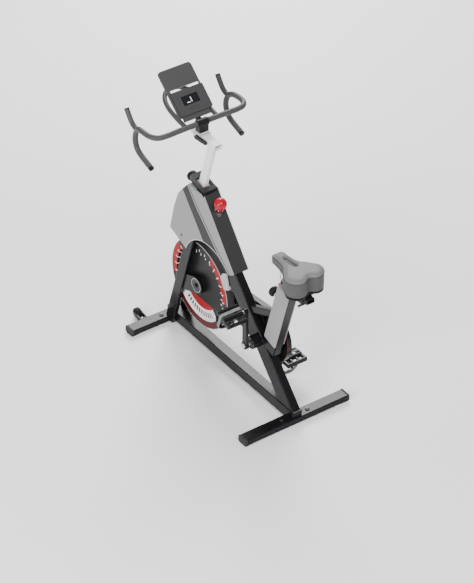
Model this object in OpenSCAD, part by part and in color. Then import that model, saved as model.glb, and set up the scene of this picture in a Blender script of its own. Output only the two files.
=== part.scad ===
// Indoor spin bike: welded frame on two floor tubes, belt-driven flywheel,
// sliding seat and handlebar posts. X runs forward, Y to the rider's left.

/* [Floor tubes] */
// Length of the rear floor tube without its caps
rear_foot_length = 504; // [460:2:540]
// Length of the front floor tube without its caps
front_foot_length = 444; // [400:2:480]
// Width of both floor tubes along the bike
foot_w = 52; // [44:1:56]
// Height of both floor tubes
foot_h = 28; // [24:1:34]
// Height of the floor tubes' top face above the base line
foot_top = 60; // [58:1:64]
// How far each rubber end cap stands past the tube
cap_reach = 8; // [6:1:12]

/* [Frame] */
// Width of the base rail
rail_w = 46; // [40:1:46]
// Height of the base rail's top face above the base line
rail_top = 88; // [84:1:92]
// Height of the base rail's section
rail_h = 50; // [44:1:54]
// Slope of the main tube above the floor, in degrees
main_slope = 48; // [47:0.5:49]
// Depth of the main tube and the seat tube
main_depth = 76; // [70:1:78]
// Width of the main tube and the seat tube
main_w = 40; // [36:1:42]
// Wall of the frame tubes
wall = 2.5; // [2:0.25:3]
// How far the fork legs lean back, in degrees
fork_lean = 17.7; // [17:0.1:18.5]
// Depth of a fork leg
leg_depth = 50; // [44:1:52]
// Thickness of a fork leg
leg_t = 20; // [16:1:20]
// How far the seat tube leans back, in degrees
seat_lean = 16.5; // [16:0.1:17]
// How far the handlebar post leans back, in degrees
head_lean = 17.2; // [16.8:0.1:17.6]

/* [Flywheel and drive] */
// Diameter of the flywheel
fly_d = 404; // [380:2:404]
// Thickness of the flywheel's rim
fly_t = 36; // [28:1:36]
// Radius of the crank's belt pulley
drive_r = 95; // [85:1:98]
// Radius of the flywheel's belt pulley
driven_r = 33; // [28:1:36]
// Distance from the crank's axis to a pedal's axis
crank_length = 170; // [160:1:175]
// Distance between the outer faces of the two cranks
crank_spread = 184; // [180:1:190]
// Width of a pedal body
pedal_w = 95; // [85:1:100]
// Length of a pedal body along the shoe
pedal_l = 86; // [80:1:90]
// How far the left pedal hangs nose up at rest, in degrees
left_pedal_tilt = 19; // [0:1:30]

/* [Seat and handlebar] */
// Length of the saddle
saddle_l = 248; // [240:1:250]
// Width of the saddle across its two rear pads
saddle_w = 184; // [176:1:188]
// Height of the saddle's top at its rear above the base line
saddle_top = 806; // [800:1:812]
// Radius of the handlebar's tube
bar_r = 12; // [11:0.5:13]
// Radius of the forearm loop's tube
loop_r = 10; // [9:0.5:11]
// Width of the tablet panel
panel_w = 158; // [150:1:160]
// Length of the tablet panel up its slope
panel_l = 209; // [200:1:212]
// Slope of the tablet panel above the floor, in degrees
panel_slope = 40.3; // [38:0.1:43]

/* [Hidden] */
$fn = 48;
gap = 0.3;
slack = 0.05;
// All heights start at the base line, this far below the floor
base_line = 28;

rear_foot_x = -433;
front_foot_x = 436;
foot_low = foot_top - foot_h;
rear_bolt_y = 65;
front_bolt_y = 64;

bb = [-208, 312];
axle = [216, 335];
fly_r = fly_d / 2;

leg_in = rail_w / 2;
leg_out = leg_in + leg_t;
leg_foot = [407, 60];
main_on = [-208, 298.5];

head_top = [205, 843];
head_d = 58;
head_w = 46;
head_l = 240;
post_d = 36;
post_w = 24;

seat_top = [-378, 655];
seat_len = 372;
seat_post_d = 44;
seat_post_w = 24;

knob_base = [104, 746];
knob_up = 62;
screw_at = [301, 548];
brake_pin = [0, 446];

guard_r1 = 121;
guard_r2 = 52;
guard_in = 36.5;
guard_skin = 2;
guard_mid = guard_in + guard_skin;
guard_out = 60;
belt_y = 42;
belt_w = 12;
belt_t = 3;
belt_gap = 0.4;

spindle_r = 10;
shaft_r = 8.5;
bracket_in = 27;
bracket_t = 8;
fly_bearing_r = 32;
bb_r = 28;
bb_hole_r = 21;
bb_left = 60;
bb_right = 35;

crank_in = crank_spread / 2 - 14;
pedal_y = crank_spread / 2 + 10;
pin_r = 5;

bar_mid = [212, 1130];
tee_low = 1058;
tee_h = 25;
tee_w = 38;
tee_rear = 98;
tee_front = 267;
post_head = [head_top[0] - (tee_low - head_top[1]) * tan(head_lean), tee_low];
seat_tee_low = 678;
seat_tee_h = 22;
seat_tee_x = [-528, -353];
rail_z = 709;
rail_y = 22;
rail_r = 3.5;
seat_head = [seat_top[0] - (seat_tee_low - seat_top[1]) * tan(seat_lean), seat_tee_low];
clamp_x = [184, 240];
saddle_clamp_x = [-505, -440];
saddle_nose = -290;
saddle_mid = 722;
handle_x = -490;
panel_foot = [251.6, 1152];

wheel_at = [513, 54];
wheel_y = 135;
wheel_r = 24;

steel = [0.06, 0.06, 0.065];
silver = [0.72, 0.72, 0.73];
chrome = [0.85, 0.85, 0.87];
dark = [0.14, 0.14, 0.15];
grey = [0.38, 0.38, 0.39];
red = [0.75, 0.08, 0.12];

// ---------- shared shapes ----------

// Rectangle with round corners, centred
module rrect(a, b, r) {
    square([a - 2 * r, b], center = true);
    square([a, b - 2 * r], center = true);
    for (x = [-1, 1], y = [-1, 1])
        translate([x * (a / 2 - r), y * (b / 2 - r)]) circle(r, $fn = 32);
}

// Children drawn on a tube's own axis, which starts at p and leans back
module lean_at(p, lean) {
    translate([p[0], 0, p[1]]) rotate([0, -lean, 0]) children();
}

// Rectangular hollow section along the local Z axis
module box_section(from, to, d, w, t) {
    translate([0, 0, from]) linear_extrude(to - from) difference() {
        rrect(d, w, 5);
        rrect(d - 2 * t, w - 2 * t, 5 - t);
    }
}

// Cylinder across the bike between two Y values
module across(p, r, y0, y1) {
    translate([p[0], y0, p[1]]) rotate([-90, 0, 0]) cylinder(h = y1 - y0, r = r);
}

// Outline given as X and Z, spread across the bike between two Y values
module side_plate(y0, y1) {
    translate([0, y1, 0]) rotate([90, 0, 0]) linear_extrude(y1 - y0) children();
}

// Sets a part drawn from the base line on the floor
module stand() {
    translate([0, 0, -base_line]) children();
}

// Both sides of the bike
module both() {
    children();
    mirror([0, 1, 0]) children();
}

// Outline round two circles of radius r1 and r2 and their outer tangents
module belt_outline(r1, r2) {
    run = axle - bb;
    aim = atan2(run[1], run[0]);
    open = acos((r1 - r2) / norm(run));
    translate(bb) circle(r1, $fn = 96);
    translate(axle) circle(r2, $fn = 96);
    polygon([
        bb + r1 * [cos(aim + open), sin(aim + open)],
        axle + r2 * [cos(aim + open), sin(aim + open)],
        axle + r2 * [cos(aim - open), sin(aim - open)],
        bb + r1 * [cos(aim - open), sin(aim - open)]]);
}

// Points on a smooth curve through hand-set points
function blend4(a, b, c, d, t) = 0.5 * (2 * b + (c - a) * t
    + (2 * a - 5 * b + 4 * c - d) * t * t + (3 * b - a - 3 * c + d) * t * t * t);
function smooth(p, m) = [
    for (i = [0 : len(p) - 2], j = [0 : m - 1])
        blend4(p[max(i - 1, 0)], p[i], p[i + 1], p[min(i + 2, len(p) - 1)], j / m),
    p[len(p) - 1]];
function unit(v) = v / norm(v);
function headings(p) = [for (i = [0 : len(p) - 1])
    unit(p[min(i + 1, len(p) - 1)] - p[max(i - 1, 0)])];
function carried(t, n, i = 0) = i == len(t) ? [] :
    let (m = unit(n - (n * t[i]) * t[i])) concat([m], carried(t, m, i + 1));

// Tube of an a by b oval swept along the points p; n0 is the side of half-width a
module sweep(p, a, b, n0, sides) {
    t = headings(p);
    n = carried(t, n0);
    last = len(p) - 1;
    ring = [for (i = [0 : last]) let (o = cross(t[i], n[i]))
        for (k = [0 : sides - 1]) let (w = 360 * k / sides)
            p[i] + a * cos(w) * n[i] + b * sin(w) * o];
    caps = [[for (k = [0 : sides - 1]) k],
        [for (k = [sides - 1 : -1 : 0]) last * sides + k]];
    walls = [for (i = [0 : last - 1], k = [0 : sides - 1])
        let (q = (k + 1) % sides)
            [i * sides + k, (i + 1) * sides + k, (i + 1) * sides + q, i * sides + q]];
    polyhedron(ring, concat(caps, walls), convexity = 6);
}

function mirrored(p) = [for (i = [len(p) - 1 : -1 : 0]) [p[i][0], -p[i][1], p[i][2]]];

// ---------- floor tubes and base ----------

module foot_solid(x, len) {
    translate([x, 0, foot_low + foot_h / 2]) rotate([90, 0, 0])
        linear_extrude(len, center = true) rrect(foot_w, foot_h, 4);
}

module foot_tube(x, len, bolt_y) {
    color(steel) difference() {
        foot_solid(x, len);
        translate([x, 0, foot_low + foot_h / 2]) rotate([90, 0, 0])
            linear_extrude(len + 2, center = true)
                rrect(foot_w - 2 * wall, foot_h - 2 * wall, 1.5);
        for (s = [-1, 1]) translate([x, s * bolt_y, 0]) cylinder(h = 100, r = pin_r);
    }
}

module rear_stabilizer() {
    stand() foot_tube(rear_foot_x, rear_foot_length, rear_bolt_y);
}

module front_stabilizer() {
    stand() foot_tube(front_foot_x, front_foot_length, front_bolt_y);
}

// Rubber cap on a tube's end with the thin pad that stands on the floor
module end_cap(x, len) {
    foot_l = 40;
    translate([x, len / 2 + cap_reach / 2, foot_low + foot_h / 2]) rotate([90, 0, 0])
        linear_extrude(cap_reach, center = true) rrect(foot_w + 2, foot_h + 2, 5);
    translate([x, len / 2 + cap_reach - foot_l / 2, base_line])
        linear_extrude(foot_low - base_line) rrect(foot_w - 6, foot_l, 5);
}

module stabilizer_caps() {
    stand() color([0.3, 0.3, 0.31]) both() {
        end_cap(rear_foot_x, rear_foot_length);
        end_cap(front_foot_x, front_foot_length);
    }
}

module base_rail() {
    x0 = rear_foot_x - 19;
    x1 = front_foot_x + 16;
    stand() color(steel) difference() {
        translate([x0, 0, rail_top - rail_h / 2]) rotate([90, 0, 90])
            linear_extrude(x1 - x0) difference() {
                rrect(rail_w, rail_h, 3);
                rrect(rail_w - 2 * wall, rail_h - 2 * wall, 1);
            }
        for (x = [rear_foot_x, front_foot_x])
            translate([x - foot_w / 2, -50, 0]) cube([foot_w, 100, foot_top]);
        translate([front_foot_x, -50, 0]) cube([100, 100, foot_top]);
        translate([rear_foot_x - 100, -50, 0]) cube([100, 100, foot_top]);
    }
}

module frame_bolts() {
    stand() color(dark) {
        for (s = [-1, 1]) {
            floor_bolt(rear_foot_x, s * rear_bolt_y);
            floor_bolt(front_foot_x, s * front_bolt_y);
            across_bolt(screw_at, s);
        }
    }
}

module floor_bolt(x, y) {
    translate([x, y, foot_low + wall]) cylinder(h = foot_h - wall, r = pin_r - slack);
    translate([x, y, foot_top]) cylinder(h = 3, r = 11);
    translate([x, y, foot_top + 3]) cylinder(h = 3, r1 = 9, r2 = 6);
    translate([x, y, foot_low + wall]) cylinder(h = 6, r = 8, $fn = 6);
}

// Small dome-headed screw through a shroud's side
module across_bolt(p, s) {
    face = 46;
    mirror([0, s < 0 ? 1 : 0, 0]) {
        across(p, 4.5, face, face + 2);
        across(p, 2, face - 6, face);
    }
}

// ---------- welded frame ----------

module main_axis() {
    translate([main_on[0], 0, main_on[1]]) rotate([0, 90 - main_slope, 0]) children();
}

module main_tube() {
    stand() color(steel) difference() {
        union() {
            main_axis() box_section(-350, 640, main_depth, main_w, wall);
            brake_lug();
        }
        translate([-700, -60, rail_top - 400]) cube([900, 120, 400]);
        lean_at(head_top, head_lean) translate([-head_d / 2, -60, -700])
            cube([400, 120, 1200]);
        across(bb, bb_r, -60, 60);
        across(brake_pin, pin_r, -60, 60);
    }
}

// Two ears under the main tube that hold the brake's pivot pin
module brake_lug() {
    both() side_plate(10, 15)
        polygon([[-40, 440], [24, 510], [12, 446], [0, 434], [-12, 434]]);
}

module fork_solid() {
    lean_at(leg_foot, fork_lean) translate([-leg_depth / 2, leg_in, -60])
        cube([leg_depth, leg_t, 700]);
}

module fork_legs() {
    stand() color(steel) both() difference() {
        lean_at(leg_foot, fork_lean) translate([0, leg_in + leg_t / 2, -60])
            linear_extrude(700) difference() {
                rrect(leg_depth, leg_t, 3);
                rrect(leg_depth - 2 * wall, leg_t - 2 * wall, 0.5);
            }
        translate([0, 0, rail_top - rail_h - 400]) cube([900, 100, 400]);
        translate([front_foot_x - foot_w / 2, 0, 0]) cube([200, 100, foot_top]);
        translate([-200, 0, 668]) cube([900, 100, 200]);
    }
}

// Plate from a fork leg back to the flywheel's bearing
module axle_brackets() {
    stand() color(steel) both() difference() {
        side_plate(bracket_in, bracket_in + bracket_t) hull() {
            translate(axle) circle(fly_bearing_r + 7, $fn = 64);
            translate([308, 262]) square([14, 76]);
        }
        across(axle, fly_bearing_r, 0, 60);
        fork_solid();
    }
}

module bearings() {
    stand() color(chrome) {
        both() difference() {
            across(axle, fly_bearing_r, bracket_in - 1, bracket_in + bracket_t + 1);
            across(axle, shaft_r + slack, 0, 60);
        }
        bb_bearing(-bb_right + 2, -bb_right + 14);
        bb_bearing(bb_left - 14, bb_left - 2);
    }
}

module bb_bearing(y0, y1) {
    difference() {
        across(bb, bb_hole_r, y0, y1);
        across(bb, spindle_r + slack, y0 - 1, y1 + 1);
    }
}

module bottom_bracket() {
    stand() color(steel) difference() {
        across(bb, bb_r, -bb_right, bb_left);
        across(bb, bb_hole_r, -bb_right - 1, bb_left + 1);
    }
}

module head_sleeve() {
    stand() color(steel) difference() {
        lean_at(head_top, head_lean) translate([0, 0, -head_l]) linear_extrude(head_l)
            difference() {
                rrect(head_d, head_w, 4);
                rrect(head_d - 10, head_w - 10, 2);
            }
        bar_pin_axis() cylinder(h = 60, r = pin_r + 1);
    }
}

module seat_axis() {
    lean_at(seat_top, seat_lean) children();
}

module seat_tube() {
    stand() color(steel) difference() {
        seat_axis() box_section(-seat_len, 0, main_depth + 1, main_w, 2);
        main_axis() translate([-main_depth / 2, -50, -600])
            cube([main_depth + 300, 100, 1200]);
        across(bb, bb_r, -60, 60);
        seat_pin_axis() cylinder(h = 60, r = pin_r + 1);
    }
}

// Silver plates that dress both sides of the seat tube
module seat_tube_covers() {
    cover_d = main_depth + 1;
    stand() color(silver) both() difference() {
        seat_axis() translate([0, main_w / 2, -322]) rotate([-90, 0, 0])
            linear_extrude(3) translate([0, -160]) rrect(cover_d, 316, 9);
        main_axis() translate([-main_depth / 2, -50, -600])
            cube([main_depth + 300, 100, 1200]);
    }
}

module frame_strut() {
    stand() color(steel) difference() {
        translate([-150, 0, 425]) rotate([0, -66, 0])
            translate([0, 0, -60]) linear_extrude(260) difference() {
                rrect(30, 25, 3);
                rrect(25, 20, 1);
            }
        main_axis() translate([-main_depth / 2, -50, -600])
            cube([main_depth + 300, 100, 1200]);
        seat_axis() translate([-400 + (main_depth + 1) / 2, -50, -500])
            cube([400, 100, 600]);
    }
}

// ---------- shroud ----------

// Solid outline of the shroud, both halves together
module shroud_block() {
    side = 46;
    back = 35;
    hull() {
        side_plate(-side, side) polygon([[387, 539], [355, 662], [324, 743],
            [290, 785], [251, 828], [166, 822], [50, 652], [40, 600], [268, 495]]);
        side_plate(-back, back) polygon([[251, 828], [153, 828], [36, 658], [60, 640]]);
    }
    hull() {
        side_plate(-side, side) polygon([[150, 798], [50, 652], [40, 600], [150, 650]]);
        side_plate(-back, back) polygon([[153, 828], [36, 658], [60, 640]]);
        side_plate(-43, 43) polygon([[-48, 548], [-33, 537], [-20, 560]]);
        side_plate(-35, 35) polygon([[-59, 552], [-45, 541], [-40, 560]]);
    }
}

arch_mid = [110, 430];
arch_r = 175;

// Thin shell of the whole shroud, open below
module shroud_shell() {
    mid = [190, 0, 660];
    difference() {
        shroud_block();
        translate(mid) scale([0.984, 0.945, 0.984]) translate(-mid) shroud_block();
        across(arch_mid, arch_r, -60, 60);
        side_plate(-43.4, 43.4)
            polygon([[190, 450], [395, 522], [384, 552], [190, 552]]);
        side_plate(-21, 21)
            polygon([[-90, 480], [-62, 524], [-44, 535], [16, 602], [60, 600], [30, 500]]);
        lean_at(head_top, head_lean) translate([-60, -40, -17]) cube([120, 80, 60]);
        lean_at(head_top, head_lean) translate([-head_d / 2 - gap, -head_w / 2 - gap, -head_l])
            cube([head_d + 2 * gap, head_w + 2 * gap, head_l + 40]);
        bar_pin_axis() cylinder(h = 200, r = 13);
        lean_at(knob_base, head_lean) cylinder(h = 100, r = 9, center = true);
        main_axis() translate([-main_depth / 2 - 0.2, -main_w / 2 - 0.2, -600])
            cube([main_depth + 0.4, main_w + 0.4, 1200]);
    }
}

// Band that the rear spine takes out of the shell
module spine_band() {
    hull() {
        side_plate(-35, 35) polygon([[160, 840], [120, 830], [10, 660], [46, 648], [170, 818]]);
        side_plate(-35, 35) polygon([[-90, 570], [-44, 534], [-20, 556], [20, 640]]);
    }
}

module shroud_half() {
    difference() {
        shroud_shell();
        spine_band();
        translate([-200, -200, 300]) cube([700, 200, 700]);
        across(screw_at, 2, 30, 60);
    }
}

module shroud_left() {
    stand() color(silver) shroud_half();
}

module shroud_right() {
    stand() color(silver) mirror([0, 1, 0]) shroud_half();
}

module shroud_spine() {
    stand() color(dark) intersection() {
        shroud_shell();
        spine_band();
    }
}

// Moulded cap round the top of the head sleeve
module head_collar() {
    stand() color(dark) lean_at(head_top, head_lean) difference() {
        translate([3, 0, -17]) linear_extrude(22) rrect(106, 66, 12);
        translate([0, 0, -28]) linear_extrude(40) rrect(head_d, head_w, 4);
    }
}

// Plastic bushes that the two posts slide in
module post_bushes() {
    stand() color([0.5, 0.42, 0.42]) {
        difference() {
            lean_at(head_top, head_lean)
                bush(head_d - 10, head_w - 10, post_d, post_w, 110, 2);
            bar_pin_axis() cylinder(h = 60, r = pin_r + 1);
        }
        difference() {
            seat_axis() bush(main_depth - 3, main_w - 4, seat_post_d, seat_post_w, 110, 3);
            seat_pin_axis() cylinder(h = 60, r = pin_r + 1);
        }
        seat_axis() linear_extrude(8) difference() {
            rrect(main_depth + 7, main_w + 8, 6);
            rrect(seat_post_d + 2 * gap, seat_post_w + 2 * gap, 3);
        }
    }
}

module bush(d, w, hole_d, hole_w, len, r) {
    translate([0, 0, -len]) linear_extrude(len) difference() {
        rrect(d, w, r);
        rrect(hole_d + 2 * gap, hole_w + 2 * gap, 3);
    }
}

// ---------- belt drive ----------

module belt_guard_inner() {
    stand() color(dark) difference() {
        side_plate(-guard_mid, -guard_in) belt_outline(guard_r1, guard_r2);
        across(bb, 24, -60, -20);
        across(axle, fly_bearing_r + 9, -60, -20);
    }
}

module belt_guard_outer() {
    skin = 2.5;
    stand() color(dark) difference() {
        side_plate(-guard_out, -guard_mid) belt_outline(guard_r1, guard_r2);
        side_plate(-guard_out + skin, -guard_mid + 1)
            belt_outline(guard_r1 - skin, guard_r2 - skin);
        across(bb, 24, -80, -20);
    }
}

module drive_belt() {
    stand() color([0.05, 0.05, 0.05]) side_plate(-belt_y - belt_w, -belt_y) difference() {
        belt_outline(drive_r + belt_gap + belt_t, driven_r + belt_gap + belt_t);
        belt_outline(drive_r + belt_gap, driven_r + belt_gap);
    }
}

module drive_pulley() {
    holes = 6;
    stand() color([0.2, 0.2, 0.2]) difference() {
        union() {
            difference() {
                across(bb, drive_r, -belt_y - belt_w - 1, -belt_y + 1);
                across(bb, drive_r - 9, -belt_y - belt_w - 2, -belt_y + 2);
            }
            across(bb, drive_r - 8, -52, -47);
            across(bb, 22, -belt_y - belt_w - 1, -belt_y + 1);
        }
        across(bb, spindle_r, -80, 0);
        for (i = [0 : holes - 1]) {
            turn = 360 * i / holes;
            across(bb + 54 * [cos(turn), sin(turn)], 18, -80, 0);
        }
    }
}

module flywheel_pulley() {
    stand() color([0.2, 0.2, 0.2]) difference() {
        across(axle, driven_r, -belt_y - belt_w - 1, -belt_y + 1);
        across(axle, shaft_r, -80, 0);
    }
}

module flywheel_shaft() {
    stand() color(chrome) across(axle, shaft_r, -56, 44);
}

module flywheel() {
    half = fly_t / 2;
    hub = half + 5;
    stand() color([0.12, 0.12, 0.12]) translate([axle[0], 0, axle[1]]) rotate([90, 0, 0])
        rotate_extrude($fn = 96) polygon([[shaft_r, -hub], [40, -hub], [40, -10],
            [160, -10], [166, -half], [fly_r - 1.5, -half], [fly_r, -half + 1.5],
            [fly_r, half - 1.5], [fly_r - 1.5, half], [166, half], [160, 0],
            [40, 0], [40, hub], [shaft_r, hub]]);
}

// ---------- crank and pedals ----------

module crank_spindle() {
    stand() color(chrome) across(bb, spindle_r, -crank_spread / 2 - 3, crank_spread / 2 + 3);
}

// Forged crank arm; up is +1 or -1
module crank_arm(up, y0) {
    tip = bb + [0, up * crank_length];
    color(steel) difference() {
        union() {
            across(bb, 18, y0, y0 + 14);
            across(tip, 13, y0, y0 + 14);
            side_plate(y0 + 1, y0 + 13) polygon([bb + [-15, 0], tip + [-11, 0],
                tip + [11, 0], bb + [15, 0]]);
        }
        across(bb, spindle_r, y0 - 1, y0 + 15);
        across(tip, 7, y0 - 1, y0 + 15);
    }
}

module crank_left() {
    stand() crank_arm(1, crank_in);
}

module crank_right() {
    stand() crank_arm(-1, -crank_spread / 2);
}

module pedal_spindles() {
    stand() color(chrome) {
        across(bb + [0, crank_length], 7, crank_in, pedal_y + pedal_w - 4);
        across(bb - [0, crank_length], 7, -pedal_y - pedal_w + 4, -crank_in);
    }
}

// Alloy pedal on its own axis, Y outwards from the crank
module pedal_body() {
    half = pedal_l / 2;
    color([0.1, 0.1, 0.1]) translate([0, pedal_y, 0]) difference() {
        union() {
            rotate([-90, 0, 0]) cylinder(h = pedal_w, r = 12);
            for (s = [-1, 1])
                translate([s * (half - 5), pedal_w / 2, 0]) rotate([90, 0, 0])
                    linear_extrude(pedal_w, center = true) rrect(10, 20, 3);
            for (y = [0, pedal_w - 8]) translate([-half + 4, y, -9])
                cube([pedal_l - 8, 8, 18]);
            for (y = [30, 58]) translate([-half + 4, y, -6])
                cube([pedal_l - 8, 6, 12]);
        }
        rotate([-90, 0, 0]) translate([0, 0, -1]) cylinder(h = pedal_w - 3 + slack, r = 7 + slack);
        translate([half - 3.5, pedal_w / 2 - 21, -5]) cube([10, 42, 10]);
    }
}

// Toe cage that hangs below the pedal's front edge
module toe_cage() {
    half = pedal_l / 2;
    flat = smooth([[half + 3.5, 0], [half + 14, -14], [half + 20, -38], [half + 8, -66],
        [half - 22, -82]], 4);
    color([0.1, 0.1, 0.1]) for (s = [-1, 1])
        sweep([for (q = flat) [q[0], pedal_y + pedal_w / 2
            + s * (21 + 0.25 * max(0, -q[1]) * (1 - 0.012 * max(0, -q[1]))), q[1]]],
            6, 2, [0, 1, 0], 8);
    color([0.1, 0.1, 0.1]) translate([half - 3.4, pedal_y + pedal_w / 2 - 20.9, -4.9])
        cube([8, 41.8, 9.8]);
    color([0.1, 0.1, 0.1]) translate([half - 25, pedal_y + pedal_w / 2 - 26, -84])
        cube([8, 52, 4]);
}

// Strap looped round the pedal and the cage's free end
module toe_strap() {
    thick = 2.4;
    out = pedal_y + pedal_w + 0.5 + thick / 2;
    in = pedal_y - 0.5 - thick / 2;
    top = 14;
    low = -91;
    mid = (out + in) / 2;
    route = smooth([[17, mid, top], [17, in + 10, top], [16, in, top - 8], [17, in + 2, -30],
        [21, in + 10, -72], [22, mid, low], [21, out - 10, -72], [17, out - 2, -30],
        [16, out, top - 8], [17, out - 10, top], [17, mid, top]], 3);
    color([0.7, 0.7, 0.7]) sweep(route, 7, thick / 2, [1, 0, 0], 8);
}

module on_left_crank() {
    translate([bb[0], 0, bb[1] + crank_length]) rotate([0, -left_pedal_tilt, 0]) children();
}

module on_right_crank() {
    translate([bb[0], 0, bb[1] - crank_length]) mirror([0, 1, 0]) children();
}

module pedal_left() {
    stand() on_left_crank() pedal_body();
}

module toe_cage_left() {
    stand() on_left_crank() toe_cage();
}

module toe_strap_left() {
    stand() on_left_crank() toe_strap();
}

module pedal_right() {
    stand() on_right_crank() pedal_body();
}

module toe_cage_right() {
    stand() on_right_crank() toe_cage();
}

module toe_strap_right() {
    stand() on_right_crank() toe_strap();
}

// ---------- brake and resistance knob ----------

// Two plates on the pivot pin with a shoe between them, just off the flywheel's rim
module brake_caliper() {
    stand() color(silver) {
        difference() {
            union() {
                both() side_plate(20.6, 25) polygon([[23, 423], [44, 450], [55, 470],
                    [38, 498], [9, 513], [-6, 448], [0, 434]]);
                side_plate(-25, 25) polygon([[30, 421], [44, 449], [55, 470], [46, 477],
                    [34, 455], [22, 430]]);
                both() side_plate(16, 21) polygon([[-9, 440], [-9, 454], [26, 458], [24, 430]]);
                both() across(brake_pin, 9, 16, 21);
            }
            across(brake_pin, pin_r - slack, -40, 40);
        }
        across(brake_pin, pin_r - slack, -25, 25);
    }
}

module knob_axis() {
    lean_at(knob_base, head_lean) children();
}

module brake_rod() {
    stand() color(chrome) {
        knob_axis() translate([0, 0, -21]) cylinder(h = 85, r = 6);
    }
}

module resistance_knob() {
    lobes = 8;
    stand() color(red) knob_axis() translate([0, 0, knob_up]) difference() {
        rotate_extrude($fn = 64) polygon(concat([[0, -24]], [[16, -24], [22, -19]],
            [for (a = [-35 : 10 : 85]) [27 * cos(a), 26 * sin(a)]], [[0, 26]]));
        translate([0, 0, -25]) cylinder(h = 28, r = 6 + slack);
        for (i = [0 : lobes - 1]) rotate([0, 0, 360 * i / lobes])
            translate([31, 0, -30]) cylinder(h = 60, r = 6);
    }
}

// Chrome sockets for the brake rod and the two pull pins
module knob_sockets() {
    stand() color(chrome) {
        difference() {
            knob_axis() translate([0, 0, -14]) cylinder(h = 38, r = 17);
            shroud_block();
            knob_axis() cylinder(h = 200, r = 6 + slack, center = true);
        }
        bar_pin_axis() pin_socket(head_d / 2, 60);
        seat_pin_axis() pin_socket((main_depth + 1) / 2, (main_depth + 1) / 2 + 19);
    }
}

module pin_socket(from, to) {
    difference() {
        translate([0, 0, from]) cylinder(h = to - from, r = 11);
        cylinder(h = 200, r = pin_r + slack, center = true);
    }
}

// Axis of a pull pin: square to its post, Z outwards to the front
module bar_pin_axis() {
    lean_at(head_top, head_lean) translate([0, 0, -34]) rotate([0, 90, 0]) children();
}

module seat_pin_axis() {
    seat_axis() translate([0, 0, -86]) rotate([0, 90, 0]) children();
}

module pull_knob(pin_from, socket_end) {
    color(dark) {
        translate([0, 0, pin_from]) cylinder(h = socket_end - pin_from + 8, r = pin_r);
        translate([0, 0, socket_end + 1]) rotate_extrude() polygon([[0, 0], [13, 0],
            [21, 4], [23, 9], [23, 17], [20, 24], [14, 28], [0, 29]]);
    }
}

module bar_pin_knob() {
    stand() bar_pin_axis() pull_knob(post_d / 2 + 0.8, 60);
}

module seat_pin_knob() {
    stand() seat_pin_axis() pull_knob(seat_post_d / 2 + 0.8, (main_depth + 1) / 2 + 19);
}

// ---------- handlebar ----------

module handlebar_post() {
    stand() color(silver) {
        lean_at(post_head, head_lean) difference() {
            translate([0, 0, -345]) linear_extrude(345 + 6) difference() {
                rrect(post_d, post_w, 4);
                rrect(post_d - 4, post_w - 4, 2);
            }
            rotate([0, head_lean, 0]) translate([-120, -60, 0]) cube([240, 120, 60]);
        }
        translate([tee_rear, 0, tee_low + tee_h / 2]) rotate([90, 0, 90])
            linear_extrude(tee_front - tee_rear) difference() {
                rrect(tee_w, tee_h, 3);
                rrect(tee_w - 5, tee_h - 5, 1);
            }
    }
}

// Channel that slides on the tee and grips the bar in a ring
module bar_clamp() {
    low = tee_low - 4;
    high = tee_low + tee_h + 4;
    stand() color(dark) difference() {
        union() {
            translate([clamp_x[0], -tee_w / 2 - 4, low])
                cube([clamp_x[1] - clamp_x[0], tee_w + 8, high - low]);
            across(bar_mid, bar_r + 5, -25, 25);
            translate([bar_mid[0] - 15, -22, high - 1]) cube([30, 44, 36]);
        }
        translate([clamp_x[0] - 1, -tee_w / 2 - gap, tee_low - gap])
            cube([100, tee_w + 2 * gap, tee_h + 2 * gap]);
        translate([clamp_x[0] - 1, -post_w / 2 - 1.5, low - 5]) cube([100, post_w + 3, 10]);
        across(bar_mid, bar_r + slack, -60, 60);
        translate([bar_mid[0] - 50, -60, bar_mid[1] - 1]) cube([40, 120, 2]);
    }
}

bar_half = [[212, 0, 1130], [212, 60, 1130], [212, 130, 1129], [213, 175, 1128],
    [222, 207, 1127], [248, 225, 1127], [286, 229, 1126], [322, 226, 1121],
    [346, 222, 1105], [360, 221, 1075], [362, 221, 1044], [350, 221, 1014],
    [325, 221, 997], [290, 221, 985], [254, 221, 974]];
horn = [[340, 223, 1106], [362, 221, 1108], [384, 221, 1119], [403, 221, 1141], [420, 221, 1165]];

module handlebar() {
    run = smooth(bar_half, 3);
    stand() color(grey) {
        sweep(concat(mirrored(run), [for (i = [1 : len(run) - 1]) run[i]]),
            bar_r, bar_r, [0, 0, 1], 20);
        both() sweep(smooth(horn, 3), bar_r - 1, bar_r - 1, [0, 1, 0], 20);
    }
}

// Forearm loop in front of the bar, under the tablet panel
module forearm_loop() {
    half = [[222, 76, 1132], [260, 77, 1138], [300, 78, 1148], [345, 75, 1160],
        [390, 59, 1170], [420, 32, 1177], [430, 0, 1179]];
    run = smooth(half, 3);
    stand() color(grey) difference() {
        sweep(concat(run, mirrored([for (i = [0 : len(run) - 2]) run[i]])),
            loop_r, loop_r, [0, 0, 1], 20);
        across(bar_mid, bar_r + 0.2, -140, 140);
    }
}

module bar_end_caps() {
    tip = bar_half[len(bar_half) - 1];
    last = bar_half[len(bar_half) - 2];
    aim = unit(tip - last);
    horn_tip = horn[len(horn) - 1];
    horn_aim = unit(horn_tip - horn[len(horn) - 2]);
    stand() color(dark) both() {
        sweep([tip + 0.1 * aim, tip + 5 * aim, tip + 8 * aim], bar_r, bar_r, [0, 0, 1], 20);
        sweep([horn_tip + 0.1 * horn_aim, horn_tip + 5 * horn_aim], bar_r - 1, bar_r - 1,
            [0, 1, 0], 20);
    }
}

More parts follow.
